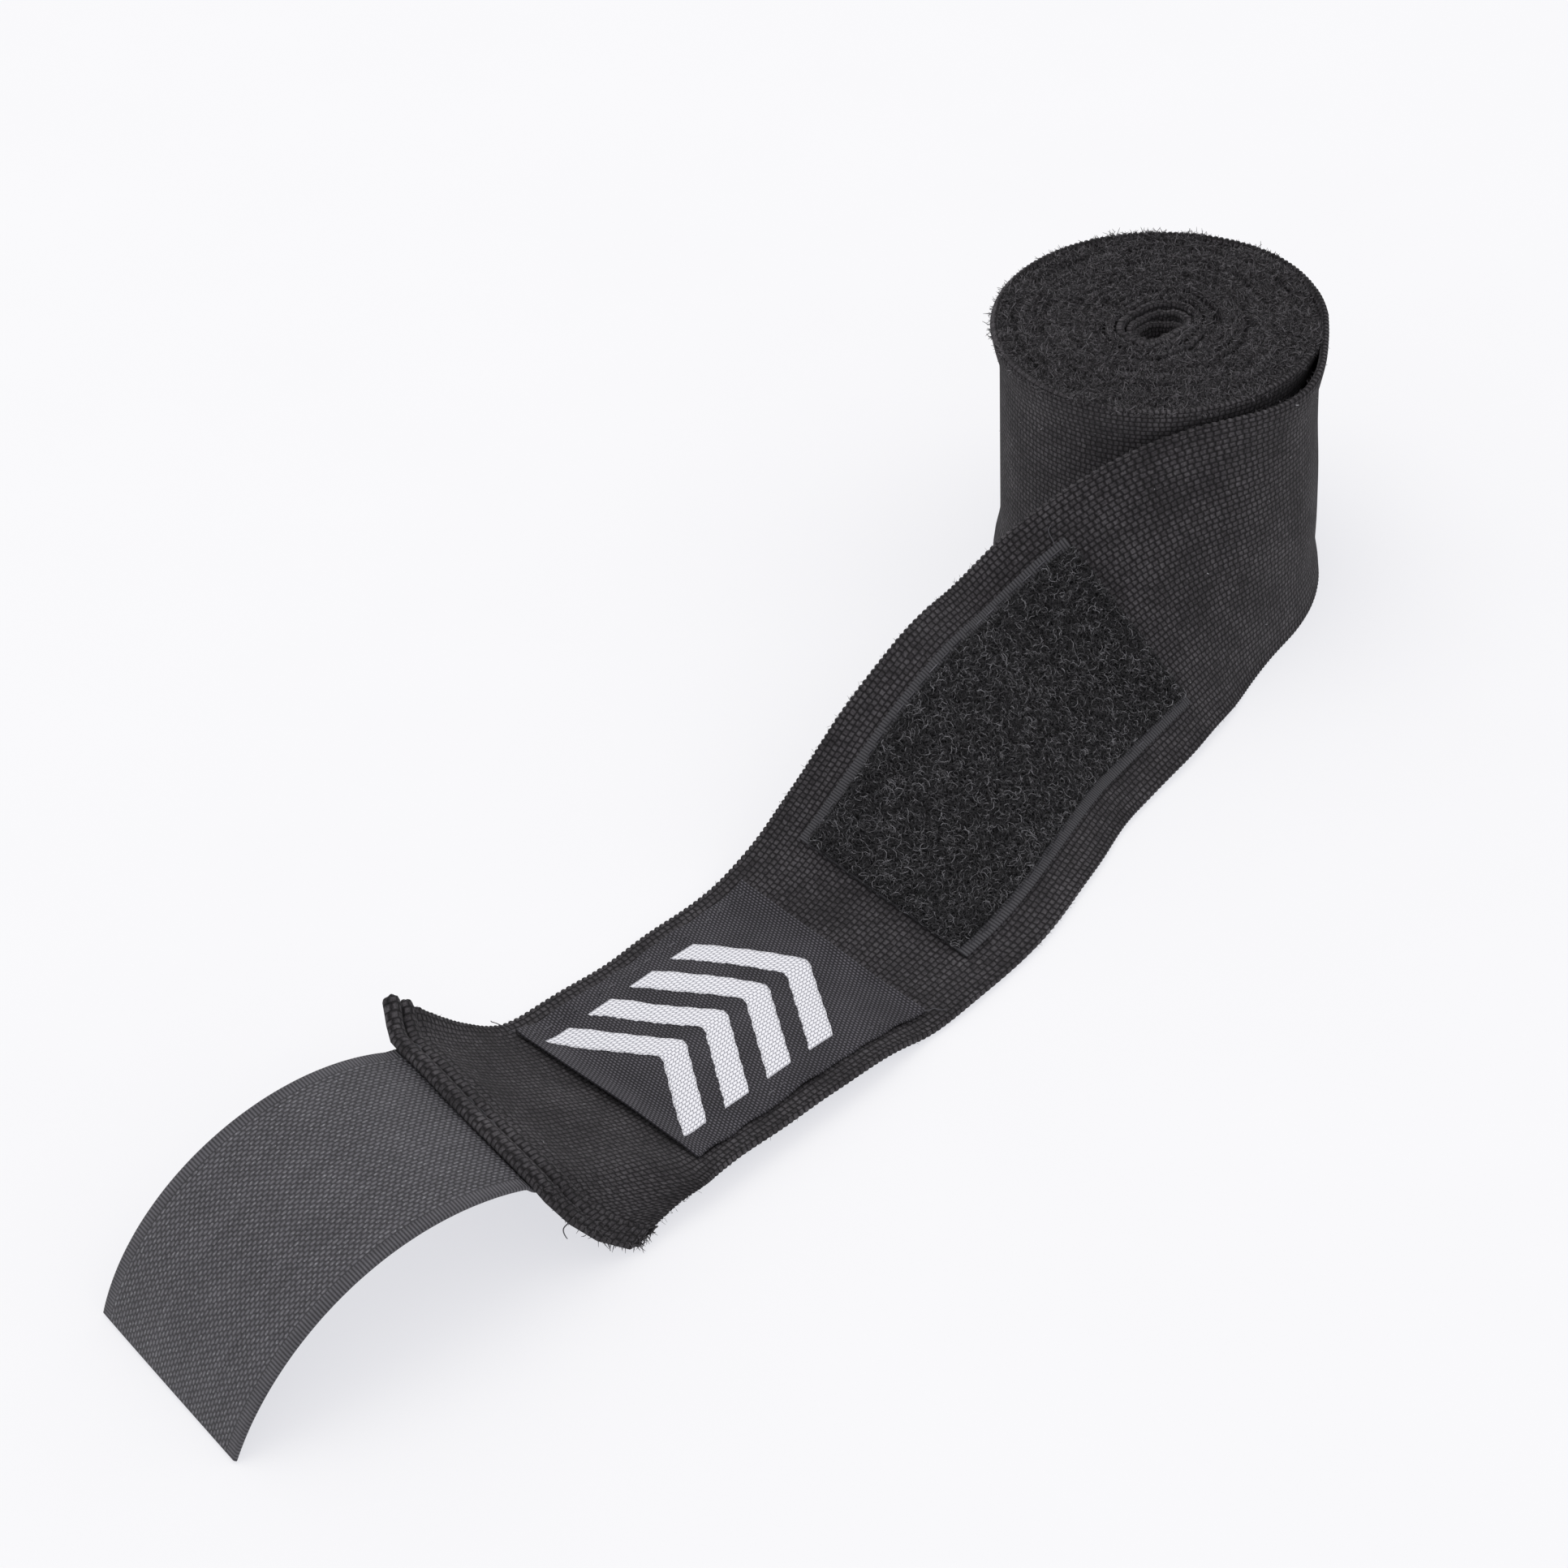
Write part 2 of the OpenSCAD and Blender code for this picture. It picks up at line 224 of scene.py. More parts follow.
def strip(place, s, t, half, relief=None, edge_steps=3, under_every=8, s_of=None, blunt=1.0,
          t_of=None):
    """A closed strip of cloth. place(s, t, 0) is its middle, half(s, t) half its thickness,
    relief(s, t) what its upper face adds, s_of the cloth's own length along it and t_of(s, t)
    its own width."""
    s, t = np.asarray(s, float), np.asarray(t, float)
    grid_s, grid_t = np.meshgrid(s, t, indexing="ij")
    mid = place(grid_s, grid_t)
    ds = np.gradient(mid, axis=0)
    dt = np.gradient(mid, axis=1)
    nor = unit(np.cross(dt, ds)) * -1
    acr = unit(dt)
    own = grid_s if s_of is None else np.broadcast_to(np.asarray(s_of)[:, None], grid_s.shape)
    h = half(own, grid_t)
    wide = grid_t if t_of is None else t_of(own, grid_t)
    top = mid + nor * (h + (0 if relief is None else relief(own, wide)))[..., None]
    pick = np.unique(np.concatenate([np.arange(0, len(t), under_every), [len(t) - 1]]))[::-1]
    bottom = (mid - nor * h[..., None])[:, pick]
    cols, straps = [top], [np.stack([own, wide, 1 + 0 * own], -1)]

    def edge(j, sign):
        out = []
        for k in range(1, edge_steps + 1):
            a = math.pi * k / (edge_steps + 1)
            r = h[:, j] + (0 if relief is None else 0.5 * relief(own, wide)[:, j])
            p = (mid[:, j] + nor[:, j] * (r * math.cos(a))[:, None]
                 + sign * acr[:, j] * (blunt * r * math.sin(a))[:, None])
            out.append(p)
        return np.stack(out, 1)
    near = edge(-1, 1)
    cols.append(near)
    straps.append(np.stack([np.broadcast_to(own[:, :1], near.shape[:2]),
                            wide[:, -1:] + 0.3 * np.arange(1, edge_steps + 1) + 0 * near[..., 0],
                            0.5 + 0 * near[..., 0]], -1))
    cols.append(bottom)
    straps.append(np.stack([own[:, pick], wide[:, pick], 0 * own[:, pick]], -1))
    far = edge(0, -1)[:, ::-1]
    cols.append(far)
    straps.append(np.stack([np.broadcast_to(own[:, :1], far.shape[:2]),
                            wide[:, :1] - 0.3 * np.arange(edge_steps, 0, -1) + 0 * far[..., 0],
                            0.5 + 0 * far[..., 0]], -1))
    verts = np.concatenate(cols, 1)
    strap = np.concatenate(straps, 1)
    rows, count = verts.shape[:2]
    faces = ring_faces(rows, count)[:, ::-1]
    # each end is a fan of triangles between its upper and its lower row of points
    ends = []
    up_i = np.linspace(0, len(t) - 1, len(pick)).round().astype(int)
    lo_i = len(t) + edge_steps + np.arange(len(pick))[::-1]
    for row, turned in ((0, False), (rows - 1, True)):
        base = row * count
        for k in range(len(pick) - 1):
            a, b = up_i[k], up_i[k + 1]
            fan = list(range(a, b + 1))
            middle = (len(fan) - 1) // 2
            for m in range(len(fan) - 1):
                tip = lo_i[k + 1] if m >= middle else lo_i[k]
                ends.append(([base + fan[m], base + fan[m + 1], base + tip], turned))
            m = middle
            ends.append(([base + fan[m], base + lo_i[k + 1], base + lo_i[k]], turned))
    tris = np.array([q[::-1] if turned else q for q, turned in ends], int)
    return verts.reshape(-1, 3), faces, strap.reshape(-1, 3), tris


def cloth(name, place, s, t, half, material, relief=None, **more):
    verts, quads, strap, tris = strip(place, s, t, half, relief, **more)
    return make_mixed(name, verts, quads, tris, material, strap)


def make_mixed(name, verts, quads, tris, material, strap=None, shade=None):
    """A mesh of quads and triangles, kept above the floor."""
    me = bpy.data.meshes.new(name)
    verts = np.asarray(verts, float).reshape(-1, 3) * 0.001
    verts[:, 2] = np.maximum(verts[:, 2], 0.00002)
    me.vertices.add(len(verts))
    me.vertices.foreach_set("co", verts.astype(np.float32).ravel())
    loops = np.concatenate([quads.ravel(), tris.ravel()]).astype(np.int32)
    total = np.concatenate([np.full(len(quads), 4), np.full(len(tris), 3)]).astype(np.int32)
    start = np.concatenate([[0], np.cumsum(total)[:-1]]).astype(np.int32)
    me.loops.add(len(loops))
    me.loops.foreach_set("vertex_index", loops)
    me.polygons.add(len(total))
    me.polygons.foreach_set("loop_start", start)
    me.polygons.foreach_set("loop_total", total)
    me.update(calc_edges=True)
    me.validate()
    me.polygons.foreach_set("use_smooth", np.ones(len(me.polygons), bool))
    if strap is not None:
        a = me.attributes.new("strap", "FLOAT_VECTOR", "POINT")
        a.data.foreach_set("vector", np.asarray(strap, np.float32).ravel())
    if shade is not None:
        a = me.attributes.new("shade", "FLOAT", "POINT")
        a.data.foreach_set("value", np.asarray(shade, np.float32).ravel())
    me.materials.append(material)
    o = bpy.data.objects.new(name, me)
    bpy.context.scene.collection.objects.link(o)
    return o


def tubes(paths, radius, sides=3, taper=1.0):
    """Round threads: paths is (count, points, 3). Ends are closed to a point."""
    paths = np.asarray(paths, float)
    k, p = paths.shape[:2]
    tangent = unit(np.gradient(paths, axis=1))
    ref = unit(rng.normal(size=(k, 1, 3)))
    a = unit(np.cross(tangent, ref))
    b = np.cross(tangent, a)
    radius = np.broadcast_to(np.asarray(radius, float).reshape(-1, 1), (k, 1))
    grow = np.sin(np.linspace(0, math.pi, p))[None] ** 0.5 * taper + (1 - taper)
    r = radius * np.maximum(grow, 0.15)
    ang = np.arange(sides) * 2 * math.pi / sides
    ring = (paths[:, :, None] + r[..., None, None] *
            (np.cos(ang)[:, None] * a[:, :, None] + np.sin(ang)[:, None] * b[:, :, None]))
    verts = ring.reshape(-1, 3)
    one = ring_faces(p, sides)
    faces = (one[None] + (np.arange(k) * p * sides)[:, None, None]).reshape(-1, 4)
    if sides == 4:
        base = (np.arange(k) * p * sides)[:, None]
        faces = np.vstack([faces, base + np.array([[3, 2, 1, 0]]),
                           base + (p - 1) * sides + np.array([[0, 1, 2, 3]])])
        return verts, faces, np.zeros((0, 3), int)
    base = (np.arange(k) * p * sides)[:, None]
    tris = np.vstack([base + np.array([[2, 1, 0]]), base + (p - 1) * sides + np.array([[0, 1, 2]])])
    return verts, faces, tris


def threads(name, paths, radius, material, shade=None, sides=3, taper=1.0):
    v, f, tris = tubes(paths, radius, sides, taper)
    k, p = np.asarray(paths).shape[:2]
    tone = None if shade is None else np.repeat(shade, p * sides)
    return make_mixed(name, v, f, tris, material, shade=tone)


# ---------------------------------------------------------------- materials

class Nodes:
    def __init__(self, name, base=(0.03, 0.03, 0.033), rough=0.85, **sockets):
        self.m = bpy.data.materials.new(name)
        self.m.use_nodes = True
        self.t = self.m.node_tree
        self.bsdf = self.t.nodes["Principled BSDF"]
        self.bsdf.inputs["Base Color"].default_value = (*base, 1)
        self.bsdf.inputs["Roughness"].default_value = rough
        for key, value in sockets.items():
            self.bsdf.inputs[key.replace("_", " ")].default_value = value

    def link(self, a, b):
        self.t.links.new(a, b)

    def set(self, socket, value):
        if isinstance(value, (int, float)):
            socket.default_value = value
        elif isinstance(value, tuple):
            socket.default_value = value
        else:
            self.link(value, socket)

    def math(self, op, a, b=0.0, c=0.0, clamp=False):
        n = self.t.nodes.new("ShaderNodeMath")
        n.operation = op
        n.use_clamp = clamp
        for socket, value in zip(n.inputs, (a, b, c)):
            self.set(socket, value)
        return n.outputs[0]

    def attribute(self, name):
        n = self.t.nodes.new("ShaderNodeAttribute")
        n.attribute_name = name
        return n

    def split(self, vector):
        n = self.t.nodes.new("ShaderNodeSeparateXYZ")
        self.link(vector, n.inputs[0])
        return n.outputs

    def join(self, x, y, z=0.0):
        n = self.t.nodes.new("ShaderNodeCombineXYZ")
        for socket, value in zip(n.inputs, (x, y, z)):
            self.set(socket, value)
        return n.outputs[0]

    def noise(self, vector, scale, detail=3.0, rough=0.6):
        n = self.t.nodes.new("ShaderNodeTexNoise")
        self.link(vector, n.inputs["Vector"])
        n.inputs["Scale"].default_value = scale
        n.inputs["Detail"].default_value = detail
        n.inputs["Roughness"].default_value = rough
        return n.outputs["Fac"]

    def ramp(self, value, stops):
        n = self.t.nodes.new("ShaderNodeValToRGB")
        self.link(value, n.inputs[0])
        e = n.color_ramp.elements
        while len(e) < len(stops):
            e.new(0.5)
        for k, (at, colour) in enumerate(stops):
            e[k].position = at
            e[k].color = (*colour, 1)
        return n.outputs[0]

    def mix(self, fac, a, b):
        n = self.t.nodes.new("ShaderNodeMix")
        n.data_type = "RGBA"
        self.set(n.inputs[0], fac)
        self.set(n.inputs[6], a if not isinstance(a, tuple) else (*a, 1)[:4])
        self.set(n.inputs[7], b if not isinstance(b, tuple) else (*b, 1)[:4])
        return n.outputs[2]

    def object_mm(self):
        n = self.t.nodes.new("ShaderNodeTexCoord")
        v = self.t.nodes.new("ShaderNodeVectorMath")
        v.operation = "SCALE"
        self.link(n.outputs["Object"], v.inputs[0])
        v.inputs["Scale"].default_value = 1000
        return v.outputs[0]

    def colour(self, value):
        self.link(value, self.bsdf.inputs["Base Color"])

    def bump(self, height, distance, strength=1.0):
        n = self.t.nodes.new("ShaderNodeBump")
        n.inputs["Strength"].default_value = strength
        n.inputs["Distance"].default_value = distance
        self.link(height, n.inputs["Height"])
        self.link(n.outputs[0], self.bsdf.inputs["Normal"])


def stitch_height(m, s, t, stitch, row, power=0.7, shift=0.5, gain=1.0):
    """Stitches as shader nodes: bumps, every other row moved on by a share of a stitch, with
    flat tops where the gain is over 1."""
    j = m.math("FLOOR", m.math("DIVIDE", t, row))
    odd = m.math("MULTIPLY", m.math("FLOORED_MODULO", j, 2.0), shift)
    a = m.math("MULTIPLY", m.math("ADD", m.math("DIVIDE", s, stitch), odd), math.pi)
    along = m.math("ABSOLUTE", m.math("SINE", a))
    acr = m.math("ABSOLUTE", m.math("SINE", m.math("MULTIPLY", m.math("DIVIDE", t, row), math.pi)))
    if gain > 1:
        along = m.math("MULTIPLY", along, gain, clamp=True)
        acr = m.math("MULTIPLY", acr, gain, clamp=True)
    return m.math("POWER", m.math("MULTIPLY", along, acr), power)


def knit_material(name, dark, mid, light):
    m = Nodes(name, mid, 0.95, Sheen_Weight=0.06, Sheen_Roughness=0.6, Specular_IOR_Level=0.12)
    strap = m.attribute("strap").outputs["Vector"]
    s, t, n = m.split(strap)
    wob = m.noise(strap, 0.8, 2.0)
    t2 = m.math("ADD", t, m.math("MULTIPLY", m.math("SUBTRACT", wob, 0.5), 0.5))
    wob = m.noise(m.join(t, s, n), 0.8, 2.0)
    s2 = m.math("ADD", s, m.math("MULTIPLY", m.math("SUBTRACT", wob, 0.5), 0.45))
    h = stitch_height(m, s2, t2, STITCH, ROW, 0.5, SHIFT, 1.5)
    fine = m.noise(m.join(m.math("MULTIPLY", s, 3.0), m.math("MULTIPLY", t, 5.0), n), 2.2, 4.0, 0.7)
    felt = m.noise(m.object_mm(), 1.1, 3.0, 0.7)
    patch = m.noise(strap, 0.09, 3.0)
    # Painted shade and highlight: the colour follows the stitch height h, darker in the gaps between
    # stitches and lighter on their tops. The fine, felt and patch noises are the yarn's own uneven tone.
    tone = m.math("ADD", m.math("MULTIPLY", h, 0.56), m.math("MULTIPLY", fine, 0.55))
    tone = m.math("ADD", tone, m.math("MULTIPLY", m.math("SUBTRACT", felt, 0.5), 0.5))
    tone = m.math("ADD", tone, m.math("MULTIPLY", m.math("SUBTRACT", patch, 0.5), 0.3))
    m.colour(m.ramp(tone, [(0.34, dark), (0.76, mid), (1.0, light)]))
    m.bump(m.math("ADD", m.math("MULTIPLY", h, 0.7), m.math("MULTIPLY", fine, 0.7)), 0.0003, 0.9)
    return m.m


def tape_material(name, dark, light, rib=0.8, along=True):
    m = Nodes(name, light, 0.8, Specular_IOR_Level=0.2)
    strap = m.attribute("strap").outputs["Vector"]
    s, t, n = m.split(strap)
    x = s if along else t
    ribs = m.math("ABSOLUTE", m.math("SINE", m.math("MULTIPLY", m.math("DIVIDE", x, rib), math.pi)))
    fine = m.noise(m.join(m.math("MULTIPLY", s, 4.0), m.math("MULTIPLY", t, 4.0), n), 1.5, 3.0)
    tone = m.math("ADD", m.math("MULTIPLY", ribs, 0.6), m.math("MULTIPLY", fine, 0.5))
    m.colour(m.ramp(tone, [(0.2, dark), (0.9, light)]))
    m.bump(tone, 0.0002, 0.8)
    return m.m


def hook_tape_material(name):
    """The hook tape's back: rows of monofilament dots that shine, some with a painted glint in their
    colour, and plain ribbed selvedges.
    """
    m = Nodes(name, (0.1, 0.1, 0.11), 0.5, Specular_IOR_Level=0.5)
    strap = m.attribute("strap").outputs["Vector"]
    s, t, n = m.split(strap)
    wob = m.noise(strap, 0.9, 2.0)
    s2 = m.math("ADD", s, m.math("MULTIPLY", m.math("SUBTRACT", wob, 0.5), 0.9))
    h = stitch_height(m, s2, t, 1.15, 0.62)
    edge = m.math("GREATER_THAN", m.math("ABSOLUTE", t), TAPE_W / 2 - 2.3)
    ribs = m.math("ABSOLUTE", m.math("SINE", m.math("MULTIPLY", s, math.pi / 0.55)))
    ribs = m.math("MULTIPLY", ribs, 0.85)
    level = m.math("ADD", m.math("MULTIPLY", h, m.math("SUBTRACT", 1.0, edge)),
                   m.math("MULTIPLY", ribs, edge))
    fine = m.noise(m.join(m.math("MULTIPLY", s, 3.0), m.math("MULTIPLY", t, 6.0), n), 2.0, 3.0, 0.7)
    patch = m.noise(strap, 0.12, 2.0)
    # Painted shade: the dots' relief also sets the colour, darker in the grooves between rows. The patch
    # and streak noises are the tape's own uneven tone.
    tone = m.math("ADD", m.math("MULTIPLY", level, 0.6), m.math("MULTIPLY", fine, 0.45))
    tone = m.math("ADD", tone, m.math("MULTIPLY", m.math("SUBTRACT", patch, 0.5), 0.2))
    streak = m.noise(m.join(m.math("MULTIPLY", s, 0.06), m.math("MULTIPLY", t, 0.8), n), 1.0, 3.0)
    tone = m.math("ADD", tone, m.math("MULTIPLY", m.math("SUBTRACT", streak, 0.5), 0.35))
    base = m.ramp(tone, [(0.2, (0.012, 0.0117, 0.0135)), (0.6, (0.066, 0.063, 0.071)),
                         (1.0, (0.17, 0.166, 0.18))])
    # Painted highlight: chosen dots on the raised rows are mixed towards light grey in the base colour as
    # glints. Their lower roughness is real shine.
    grain = m.noise(m.join(m.math("MULTIPLY", s, 1.4), m.math("MULTIPLY", t, 3.0), n), 1.3, 2.0)
    glint = m.math("MULTIPLY", m.math("SUBTRACT", grain, 0.55), 6.0, clamp=True)
    painted_glint = m.math("MULTIPLY", glint, m.math("GREATER_THAN", h, 0.6))
    painted_glint = m.math("MULTIPLY", painted_glint, m.math("SUBTRACT", 1.0, edge))
    m.colour(m.mix(m.math("MULTIPLY", painted_glint, 0.75), base, (0.33, 0.33, 0.345)))
    m.link(m.math("SUBTRACT", 0.62, m.math("MULTIPLY", painted_glint, 0.35)), m.bsdf.inputs["Roughness"])
    m.bump(m.math("ADD", level, m.math("MULTIPLY", fine, 0.4)), 0.00022, 0.85)
    return m.m


def satin_material(name):
    """The label's ground: a fine satin weave, its weft a little violet."""
    m = Nodes(name, (0.04, 0.037, 0.045), 0.6, Sheen_Weight=0.05, Sheen_Roughness=0.4,
              Specular_IOR_Level=0.25)
    strap = m.attribute("strap").outputs["Vector"]
    s, t, n = m.split(strap)
    k = m.math("FLOOR", m.math("DIVIDE", s, 0.5))
    x = m.math("ADD", m.math("DIVIDE", t, 0.8), m.math("MULTIPLY", k, 0.4))
    weave = m.math("ABSOLUTE", m.math("SINE", m.math("MULTIPLY", x, math.pi)))
    rib = m.math("ABSOLUTE", m.math("SINE", m.math("MULTIPLY", m.math("DIVIDE", s, 0.5), math.pi)))
    level = m.math("MULTIPLY", m.math("POWER", weave, 0.6), rib)
    fine = m.noise(m.join(m.math("MULTIPLY", s, 2.0), m.math("MULTIPLY", t, 6.0), n), 2.0, 3.0)
    patch = m.noise(strap, 0.12, 3.0)
    tone = m.math("ADD", m.math("MULTIPLY", level, 0.7), m.math("MULTIPLY", fine, 0.4))
    tone = m.math("ADD", tone, m.math("MULTIPLY", m.math("SUBTRACT", patch, 0.5), 0.3))
    m.colour(m.ramp(tone, [(0.2, (0.006, 0.0055, 0.0065)), (0.62, (0.038, 0.0355, 0.0425)),
                           (1.0, (0.17, 0.16, 0.18))]))
    m.bump(level, 0.00022, 0.9)
    return m.m


def motif_material(name):
    """White woven thread, with the ground showing through as a grid of small dots."""
    m = Nodes(name, (0.85, 0.85, 0.87), 0.6, Sheen_Weight=0.1, Specular_IOR_Level=0.35)
    strap = m.attribute("strap").outputs["Vector"]
    s, t, n = m.split(strap)
    level = stitch_height(m, s, t, 0.84, 0.66, 0.6)
    fine = m.noise(m.join(m.math("MULTIPLY", s, 3.0), m.math("MULTIPLY", t, 6.0), n), 1.6, 3.0)
    tone = m.math("ADD", m.math("MULTIPLY", level, 0.8), m.math("MULTIPLY", fine, 0.3))
    m.colour(m.ramp(tone, [(0.22, (0.16, 0.16, 0.19)), (0.5, (0.78, 0.78, 0.82)),
                           (0.9, (0.94, 0.94, 0.96))]))
    m.bump(level, 0.00016, 0.7)
    return m.m


def fibre_material(name, dark, light, rough=0.6):
    m = Nodes(name, dark, rough, Specular_IOR_Level=0.4)
    m.colour(m.mix(m.attribute("shade").outputs["Fac"], dark, light))
    fine = m.noise(m.object_mm(), 3.0, 2.0)
    m.bump(fine, 0.00005, 0.5)
    return m.m


KNIT = knit_material("band_knit", (0.004, 0.0036, 0.004), (0.0295, 0.0265, 0.029), (0.125, 0.117, 0.124))
LOOP_TAPE = tape_material("loop_tape_weave", (0.010, 0.0098, 0.0105), (0.085, 0.083, 0.089), 0.55)
PILE_BASE = tape_material("pile_ground", (0.002, 0.002, 0.002), (0.008, 0.008, 0.009), 0.7)
PILE = fibre_material("pile_fibre", (0.009, 0.0086, 0.0094), (0.3, 0.294, 0.308), 0.55)
HOOK_TAPE = hook_tape_material("hook_tape_weave")
HOOKS = fibre_material("hook_filament", (0.04, 0.04, 0.045), (0.16, 0.16, 0.175), 0.35)
SATIN = satin_material("label_satin")
MOTIF = motif_material("motif_thread")
THREAD = fibre_material("sewing_thread", (0.03, 0.029, 0.034), (0.16, 0.155, 0.17), 0.55)
FUZZ = fibre_material("cotton_fuzz", (0.014, 0.013, 0.014), (0.2, 0.19, 0.2), 0.9)
LINT = fibre_material("lint", (0.2, 0.2, 0.21), (0.7, 0.7, 0.72), 0.9)


# ---------------------------------------------------------------- the band

crumple = waves(16, 1.6, 5, 0.1)


def knit_relief(s, t):
    j = np.floor(t / ROW)
    a = np.abs(np.sin(math.pi * (s / STITCH + SHIFT * np.mod(j, 2))))
    b = np.abs(np.sin(math.pi * t / ROW))
    calm = 1 - 0.6 * smooth(s, 222, 227)
    plateau = np.minimum(1.6 * a, 1) * np.minimum(1.6 * b, 1)
    return calm * (0.2 * plateau - 0.1) + crumple(s, t) * smooth(s, 206, 222)


drift = waves(8, 14, 60, 0.22)
edge_wave = waves(6, 7, 40, 0.15)


def band_half(s, t):
    bead = smooth(np.abs(t), 23.3, 24.3)
    return 0.48 + bead * (0.06 + 0.18 * np.abs(np.sin(math.pi * s / STITCH)))


def band_place(s, t):
    """The band's middle with the small waves of real cloth."""
    free = smooth(s, -10, 12)
    t2 = t + edge_wave(s, np.sign(t) * 40) * smooth(np.abs(t), 15, 25)
    n = drift(s, t) * free * smooth(s, 236, 225)
    ridge = 0.5 * np.exp(-((s - 225.4) / 0.9)**2) - 0.3 * np.exp(-((s - 223.4) / 0.8)**2)
    ridge = ridge - 0.75 * np.exp(-((s - 227.1) / 0.5)**2) + 0.3 * np.exp(-((s - 229) / 0.8)**2)
    return on_band(s, t2, n + ridge)


def knit_steps(low, high, step):
    """Steps that fall on whole multiples of step, so that the relief's gaps are sampled."""
    k = np.arange(math.ceil(low / step + 0.3), math.floor(high / step - 0.3) + 1) * step
    return np.concatenate([[low], k, [high]])


def fine_steps(low, high, step):
    return np.linspace(low, high, max(2, int(round((high - low) / step))) + 1)


T_FINE = knit_steps(-24.6, 24.6, ROW / 3)
Q = 1.0

outer_turn = cloth("band_outer_turn", lambda s, t: on_band(s, t),
                   knit_steps(-178.5, -8.4, STITCH / 3 * Q), T_FINE, band_half, KNIT,
                   knit_relief)
lead = cloth("band_lead", band_place, knit_steps(-8.4, 60.9, STITCH / 3 * Q), T_FINE,
             band_half, KNIT, knit_relief)

# The tail runs to the hem, round its fold and back under itself
FOLD_R = 0.62
run_s = knit_steps(60.9, HEM_S - 0.6, STITCH / 3 * Q)
fold_a = np.linspace(0, math.pi, 9)[1:]
back_s = np.linspace(HEM_S - 1.2, HEM_S - 10, 16)
flat_s = np.concatenate([run_s, HEM_S - 0.6 + FOLD_R * np.sin(fold_a), back_s])
flat_n = np.concatenate([0 * run_s, -FOLD_R * (1 - np.cos(fold_a)), -2 * FOLD_R + 0 * back_s])
own_s = np.concatenate([run_s, HEM_S - 0.6 + FOLD_R * fold_a,
                        HEM_S - 0.6 + FOLD_R * math.pi + (back_s[0] - back_s) + 0.6])


def tail_place(row, t):
    i = np.asarray(row)
    s = np.interp(i, np.arange(len(flat_s)), flat_s)
    n = np.interp(i, np.arange(len(flat_s)), flat_n)
    p0 = band_place(s, t)
    return p0 + n[..., None] * read(NORMAL, np.clip(s, 0, HEM_S))


def tail_width(s, t):
    """The turned-back corner is longer than it is wide in the strap's own measure."""
    return t - 2.4 * np.clip(-t - 18.5, 0, None) * smooth(s, 203, 228)


T_TAIL = np.concatenate([fine_steps(-24.6, -18.6, 0.2), T_FINE[T_FINE > -18.4]])
tail = cloth("band_tail_cloth", tail_place, np.arange(len(flat_s)), T_TAIL, band_half, KNIT,
             knit_relief, s_of=own_s, t_of=tail_width)

# The wound turns under the outer one: only their selvedges show
GROUP = 3.9
deg = np.concatenate([fine_steps(178.5 / LEAVE_R * 180 / math.pi, 360 * 4, 1.3 * Q),
                      fine_steps(360 * 4, 360 * TURNS, 2.4 * Q)[1:]])
wob_turn = waves(7, 5, 22, 0.24)
high_turn = waves(9, 5, 30, 0.4)
grain_turn = waves(14, 1.3, 3.5, 0.16)


def turn_place(u, t):
    """Middle of a wound turn, u degrees back, with its height and place a little uneven."""
    r = turn_r(u)
    a = np.radians(LEAVE_ANGLE + u)
    g = np.mod((29.1 - r) / (GROUP * PITCH) + 0.15, 1.0)
    deep = smooth(u, 178.5 / LEAVE_R * 57.3, 470)
    valley = (np.abs(2 * g - 1) ** 4) * 1.25 * deep + 3.0 * smooth(r, 8, 3)
    z = t + BAND_W / 2
    top = smooth(z, 30, 50)
    x, y = r * np.cos(a), r * np.sin(a)
    lift = (high_turn(x, y) + grain_turn(x, y) - valley + 0.5) * top
    lift = lift + (high_turn(y, x) * 0.5 + 0.4) * smooth(z, 12, 0) * deep
    r2 = r + swell(u) + spool(t, -60.0) * (0.35 + 0.65 * r / 30) + wob_turn(x * 1.3, y * 1.3) * deep * 0.5
    r2 = r2 - (g - 0.5) * 0.45 * deep * smooth(z, 44, 49)
    r2 = r2 - 2.1 * smooth(r, 12, 5) * smooth(np.abs(t), 11, 21)
    flat = 0.16 * smooth(r, 17, 6)
    x, y = r2 * np.cos(a) * (1 + flat), r2 * np.sin(a) * (1 - flat)
    return np.stack([ROLL_AT[0] + x, ROLL_AT[1] + y, np.maximum(z + lift, 0.3)], -1)


T_COARSE = np.array([-24.7, -24.2, -23.3, -21, -12, 0, 12, 20, 22.6, 23.8, 24.3, 24.7])


def turn_half(s, t):
    bead = smooth(np.abs(t), 22.6, 24.2)
    return 0.48 + bead * (0.19 + 0.04 * np.abs(np.sin(math.pi * s / STITCH)))


own_turn = -np.cumsum(np.concatenate([[178.5], np.diff(deg) * np.pi / 180
                                      * (turn_r(deg[1:]) + turn_r(deg[:-1])) / 2]))
turns = cloth("band_wound_turns", turn_place, deg[::-1], T_COARSE, turn_half, KNIT,
              s_of=own_turn[::-1], under_every=1, blunt=0.2)

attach(outer_turn, "roll")
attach(turns, "roll")


def metres_at(s):
    return on_band(s, 0.0) * 0.001


metres_at(-7.0)
metres_at(7.0)
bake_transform(lead)
metres_at(138.5)
metres_at(149.5)
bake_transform(tail)
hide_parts("band_roll")
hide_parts("band_roll")
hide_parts("band_tail")
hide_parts("band_tail", "band_end", "hem_flap")


# ---------------------------------------------------------------- fuzz on the roll and edges

def hairs(name, base, direction, length, radius, material, tones, bend=0.6):
    k = len(base)
    a = np.linspace(0, 1, 4)
    side = unit(rng.normal(size=(k, 3)))
    path = (base[:, None] + direction[:, None] * (a * 1.0)[None, :, None] * length[:, None, None]
            + side[:, None] * (a**2)[None, :, None] * (bend * length)[:, None, None])
    return threads(name, path, radius, material, tones, 3, 0.6)


